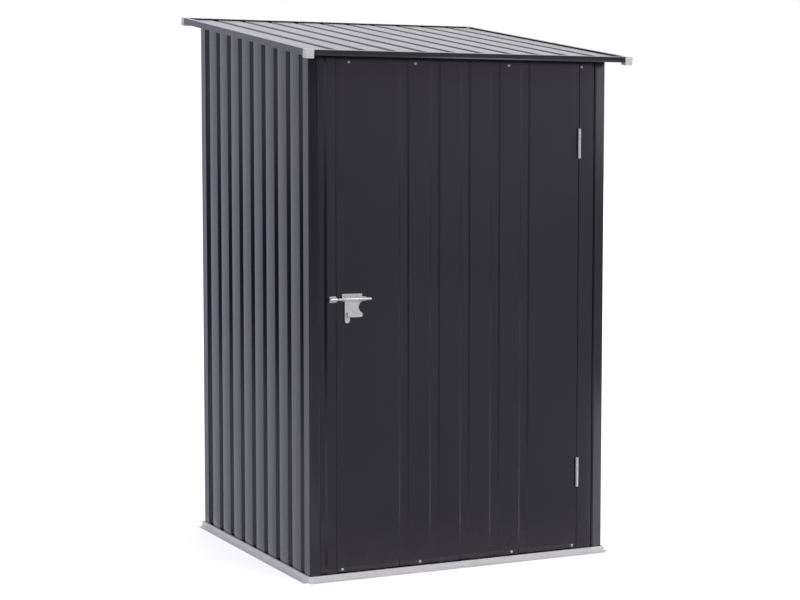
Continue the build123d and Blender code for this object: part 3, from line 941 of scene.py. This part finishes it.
TOP_SCREW_DROP = 6.5 * MM
FOOT_SCREW_RISE = 4.4 * MM
JAMB_SCREW_X = 391.5 * MM
front = (0, -1, 0)
top_z = door_high - TOP_SCREW_DROP
foot_z = door_low + FOOT_SCREW_RISE
screws = [(x, top_z) for x in (-346, -144, 151)]
screws += [(x, foot_z) for x in (-368, -128, 168.5, 371)]
for number, (x, z) in enumerate(screws):
    y = margin_y - PAD_RISE * rise(x * MM, z)
    drive(f"door_screw_{number}", screw_mesh, (x * MM, y, z), front, "door", 0.7 * number)
drive("jamb_screw", screw_mesh, (JAMB_SCREW_X, pad_y, top_z), front, "shed", 0.4)
print(len(screws) + 1, "screws on the front")

# %% [markdown]
# Two domed rivets hold the bar of the latch plate. They are turned in the same way, without a
# recess.

# %% Rivets of the latch plate
RIVET_R = 2.2 * MM
RIVET_RIM = 0.3 * MM
RIVET_DOME = 0.9 * MM
rivet_profile = [(RIVET_R, 0), (RIVET_R, RIVET_RIM)]
rivet_profile += [
    (RIVET_R * cos(radians(a)), RIVET_RIM + RIVET_DOME * sin(radians(a)))
    for a in (20, 40, 60, 75, 86)]
rivet_mesh = turned("rivet_head", rivet_profile, 24)
PLATE_BAR = 60.7 * MM
RIVET_INSET = 9 * MM
RIVET_DROP = 3.6 * MM
plate_low, plate_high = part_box("latch_plate")
plate_y = pad_y - RAIL_SHEET
rivet_z = plate_high.z - RIVET_DROP
rivets = [(plate_low.x + RIVET_INSET, rivet_z), (plate_low.x + PLATE_BAR - RIVET_INSET, rivet_z)]
for number, (x, z) in enumerate(rivets):
    drive(f"plate_rivet_{number}", rivet_mesh, (x, plate_y, z), front, "door")
print(len(rivets), "rivets on the latch plate")

# %% [markdown]
# The bolt ends in a rounded nose, and the keeper's outer end is closed by a shallow dome. Both
# are turned too, and laid on their side with their axis on the bolt's.

# %% Nose of the bolt
NOSE = 5.6 * MM
rod_low, rod_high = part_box("bolt_rod")
rod_r = (rod_high.z - rod_low.z) / 2
rod_axis = (rod_low + rod_high) / 2
sideways = (-1, 0, 0)
nose_profile = [(rod_r * 0.94, 0)]
nose_profile += [
    (rod_r * cos(radians(a)) * 0.98, NOSE - rod_r + rod_r * sin(radians(a)))
    for a in (0, 25, 45, 60, 72, 82)]
nose_mesh = turned("bolt_nose", nose_profile, 32)
drive("bolt_nose", nose_mesh, (rod_low.x, rod_axis.y, rod_axis.z), sideways, "bolt")
print("nose", round(NOSE / MM, 1), "mm long")

# %% Closed end of the keeper
END_R = 5.4 * MM
END_HIGH = 3.0 * MM
keeper_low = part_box("bolt_keeper")[0]
end_profile = [(END_R, -0.3 * END_HIGH)]
end_profile += [
    (END_R * cos(radians(a)), END_HIGH * sin(radians(a))) for a in (0, 20, 38, 54, 68, 80)]
end_mesh = turned("keeper_end", end_profile, 40)
drive("keeper_end", end_mesh, (keeper_low.x, rod_axis.y, rod_axis.z), sideways, "shed")
print("keeper's end", round(END_R * 2 / MM, 1), "mm wide")

# %% [markdown]
# ## The studio
#
# The photograph is a studio picture on white. The floor is pale and matte, and light path nodes
# add a glow to it for the camera, and for what mirrors it. So it is seen as white but keeps the
# shed's soft shadow. The sky is plain white to the camera and a touch cool to everything else.
# The ground inside the shed has no glow, because only the doorway lights it.

# %% Floor
FLOOR_DARK = (0.84, 0.84, 0.84)
FLOOR_PALE = (0.86, 0.86, 0.86)
FLOOR_GLOW = 0.50
FLOOR_R = 60.0
FLOOR_SIDES = 64
FLOOR_DROP = 0.0005


def white_floor(glow_strength):
    """Matte white that glows only for the camera and for what mirrors it."""
    material, tree, shader = new_finish("studio floor")
    here = object_space(tree)
    tone = ramp(tree, noise(tree, here, 1.5, 2), FLOOR_DARK, FLOOR_PALE)
    tree.links.new(tone, shader.inputs["Base Color"])
    shader.inputs["Roughness"].default_value = 0.9
    shader.inputs["Specular IOR Level"].default_value = 0.1
    path = tree.nodes.new("ShaderNodeLightPath")
    seen = path.outputs["Is Camera Ray"]
    for kind in ("Is Glossy Ray", "Is Transmission Ray"):
        either = tree.nodes.new("ShaderNodeMath")
        either.operation = "MAXIMUM"
        tree.links.new(seen, either.inputs[0])
        tree.links.new(path.outputs[kind], either.inputs[1])
        seen = either.outputs["Value"]
    glow = ranged(tree, seen, 0.0, 1.0, 0.0, glow_strength)
    shader.inputs["Emission Color"].default_value = (1, 1, 1, 1)
    tree.links.new(glow, shader.inputs["Emission Strength"])
    return material


def studio_piece(name, mesh, material):
    """Something in the studio that is no part of the shed."""
    mesh.materials.append(material)
    piece = bpy.data.objects.new(name, mesh)
    bpy.context.scene.collection.objects.link(piece)
    return piece


turns = [2 * pi * k / FLOOR_SIDES for k in range(FLOOR_SIDES)]
rim = [(FLOOR_R * cos(a), FLOOR_R * sin(a), -FLOOR_DROP) for a in turns]
mesh = mesh_from("studio_floor", rim, [tuple(range(FLOOR_SIDES))])
studio_piece("studio_floor", mesh, white_floor(FLOOR_GLOW))
print("floor", FLOOR_R * 2, "metres across")

# %% Ground inside the shed
INSIDE_GAP = 8 * MM
INSIDE_DROP = 0.0003
right, near, far = wall_x - INSIDE_GAP, front_y + INSIDE_GAP, back_y - INSIDE_GAP
places = [(-right, near), (right, near), (right, far), (-right, far)]
corners = [(x, y, -INSIDE_DROP) for x, y in places]
mesh = mesh_from("ground_inside", corners, [(0, 1, 2, 3)])
studio_piece("ground_inside", mesh, white_floor(0.0))
print("the ground inside does not glow")

# %% White sky
COOL_SKY = (0.921, 0.909, 0.975)
WHITE_SKY = (1, 1, 1)
world = bpy.data.worlds.new("white sky")
bpy.context.scene.world = world
world.use_nodes = True
sky = world.node_tree.nodes["Background"]
seen = world.node_tree.nodes.new("ShaderNodeLightPath").outputs["Is Camera Ray"]
tone = ramp(world.node_tree, seen, COOL_SKY, WHITE_SKY, 0.0, 1.0)
world.node_tree.links.new(tone, sky.inputs["Color"])
sky.inputs["Strength"].default_value = 1.0
print("sky strength", sky.inputs["Strength"].default_value)

# %% [markdown]
# ## Cards and mats
#
# Charcoal paint has almost no tone of its own. It shows what it mirrors, so the stripes and
# panels of the photograph are made by what stands round the shed. Dark cards face the recesses
# of the left wall and the left post, mid-grey ones face the door, and one bright strip faces
# the right post. They are curved walls of plain glow that the camera does not see. Lamps could
# paint these tones too, but each lamp would also light the floor.

# %% A card with its own tone
NEUTRAL = (0.985, 0.965, 1.04)
COOL = (0.99, 1.0, 1.17)


def card_finish(name, along, start, end, near, far, tint=NEUTRAL):
    """A flat tone that runs from near to far along one axis of the studio."""
    material = bpy.data.materials.new(name)
    material.use_nodes = True
    tree = material.node_tree
    tree.nodes.clear()
    glow = tree.nodes.new("ShaderNodeEmission")
    glow.inputs["Color"].default_value = (*tint, 1)
    out = tree.nodes.new("ShaderNodeOutputMaterial")
    coords = tree.nodes.new("ShaderNodeTexCoord")
    split = tree.nodes.new("ShaderNodeSeparateXYZ")
    tree.links.new(coords.outputs["Object"], split.inputs["Vector"])
    strength = ranged(tree, split.outputs[along], start, end, near, far)
    tree.links.new(strength, glow.inputs["Strength"])
    tree.links.new(glow.outputs["Emission"], out.inputs["Surface"])
    return material


# %% Cards round the shed
CARD_R = 9.0
CARD_TOP = 9.0
CARD_STEP = 4
SLOW_FADE = (1.8, 6.3)


def upright_card(name, start, end, bottom, top, low_tone, high_tone, fade=SLOW_FADE, tint=NEUTRAL):
    """A curved card. Angles are counted from straight in front of the door towards its right."""
    count = max(2, int(abs(end - start) / CARD_STEP))
    points, faces = [], []
    for k in range(count + 1):
        angle = radians(start + (end - start) * k / count)
        points += [(CARD_R * sin(angle), -CARD_R * cos(angle), z) for z in (bottom, top)]
    for k in range(count):
        faces.append((2 * k, 2 * k + 2, 2 * k + 3, 2 * k + 1))
    tone = card_finish(name, "Z", *fade, low_tone, high_tone, tint)
    card = studio_piece(name, mesh_from(name, points, faces), tone)
    card.visible_camera = False


upright_card("far_left_card", -125, -64, 0.0, CARD_TOP, 0.45, 0.70, (0.85, 3.0), COOL)
upright_card("dark_left_card", -64, -38, 0.0, CARD_TOP, 0.0, 0.86, (0.85, 1.50), COOL)
upright_card("near_left_card", -38, 10, 0.0, CARD_TOP, 0.46, 0.80, (1.8, 3.0))
upright_card("post_card", 10, 18, 0.0, CARD_TOP, 0.18, 0.60)
upright_card("middle_card", 18, 34.3, 0.0, CARD_TOP, 0.60, 0.76, (0.4, 1.7))
upright_card("right_low_card", 34.3, 62, 0.0, 1.15, 0.50, 0.50)
upright_card("right_bright_card", 34.3, 62, 1.15, 3.2, 2.2, 2.2)
upright_card("far_right_card", 62, 125, 0.0, CARD_TOP, 0.46, 0.80)
upright_card("back_left_card", -180, -125, 0.0, 5.0, 0.83, 0.83, (0.0, 5.0), COOL)
print("nine cards,", CARD_R, "metres away")

# %% [markdown]
# The lower half of each panel mirrors the floor. The same tones lie there as thin mats, seen in
# reflections alone, so the floor stays white to the camera. Where mats overlap, the one with
# the greater lift is on top.

# %% Mats on the floor, seen only in reflections
def floor_mat(name, corners, lift, start, end, near, far, tint=NEUTRAL):
    """A flat mat whose tone runs along the depth of the studio."""
    points = [(x, y, lift) for x, y in corners]
    tone = card_finish(name, "Y", start, end, near, far, tint)
    mat = studio_piece(name, mesh_from(name, points, [tuple(range(len(points)))]), tone)
    mat.visible_camera = mat.visible_diffuse = mat.visible_shadow = False


door_mat = [(-0.52, -0.50), (6.0, -0.50), (6.0, -9.0), (-0.52, -9.0)]
floor_mat("door_mat", door_mat, 0.002, -1.05, -0.50, 0.62, 0.78)
near_left_mat = [(-0.52, -0.50), (-8.0, -0.50), (-8.0, -9.0), (-0.52, -9.0)]
floor_mat("near_left_mat", near_left_mat, 0.002, -9.0, -0.5, 0.45, 0.45)
side_mat = [(-0.52, -0.50), (-8.0, -0.50), (-8.0, 9.0), (-0.52, 9.0)]
floor_mat("side_mat", side_mat, 0.002, 0.0, 9.0, 0.84, 0.84, COOL)
recess_mat = [(-0.53, -0.45), (-6.1, -7.55), (-9.0, -3.6), (-1.2, 0.2)]
floor_mat("recess_mat", recess_mat, 0.003, -4.1, -1.85, 0.0, 0.93, COOL)
post_board = [
    (0.48, -0.47), (0.76, -0.92), (2.32, -3.24), (3.4, -2.6), (0.95, -0.62), (0.6, -0.44)]
floor_mat("post_board", post_board, 0.004, -3.2, -0.6, 2.1, 2.3)
post_mat = [(-0.42, -0.75), (-0.14, -0.95), (0.08, -2.4), (-0.5, -2.4)]
floor_mat("left_post_mat", post_mat, 0.003, -2.4, -0.75, 0.95, 0.95)
print("six mats")

# %% [markdown]
# One large disk lamp stands high to the front and right. It gives the rails, the caps and the
# zinc their shape, and throws the soft shadow behind the shed.

# %% Soft lamp
LAMP_PLACE = (2.2, -5.6, 5.0)
LAMP_TARGET = (0, 0, 0.7)
LAMP_SIZE = 3.0
LAMP_POWER = 125
light = bpy.data.lights.new("front lamp", "AREA")
light.shape, light.size, light.energy = "DISK", LAMP_SIZE, LAMP_POWER
lamp = bpy.data.objects.new("front lamp", light)
bpy.context.scene.collection.objects.link(lamp)
aim = (Vector(LAMP_TARGET) - Vector(LAMP_PLACE)).to_track_quat("-Z", "Y")
lamp.matrix_world = Matrix.Translation(LAMP_PLACE) @ aim.to_matrix().to_4x4()
print("one soft lamp of", LAMP_POWER, "watts")

# %% [markdown]
# ## The camera
#
# The camera was fitted to the edges of the shed in the photograph: it stands low, to the left
# of the door, and looks down by less than five degrees with a long lens.

# %% Camera
LENS_PIXELS = 1869.6
IMAGE_WIDTH = 800
CAMERA_YAW = radians(25.604)
CAMERA_DROP = radians(4.655)
CAMERA_PLACE = (-2.4359, -5.0983, 1.1946)
SENSOR_WIDTH = 36
FAR_CLIP = 200
camera_data = bpy.data.cameras.new("camera")
camera_data.sensor_width = SENSOR_WIDTH
camera_data.lens = LENS_PIXELS * camera_data.sensor_width / IMAGE_WIDTH
camera_data.clip_end = FAR_CLIP
camera = bpy.data.objects.new("camera", camera_data)
camera.location = CAMERA_PLACE
camera.rotation_euler = (pi / 2 - CAMERA_DROP, 0, -CAMERA_YAW)
bpy.context.scene.collection.objects.link(camera)
bpy.context.scene.camera = camera
bpy.context.scene.view_settings.view_transform = "Standard"
print("lens", round(camera_data.lens, 1), "mm")
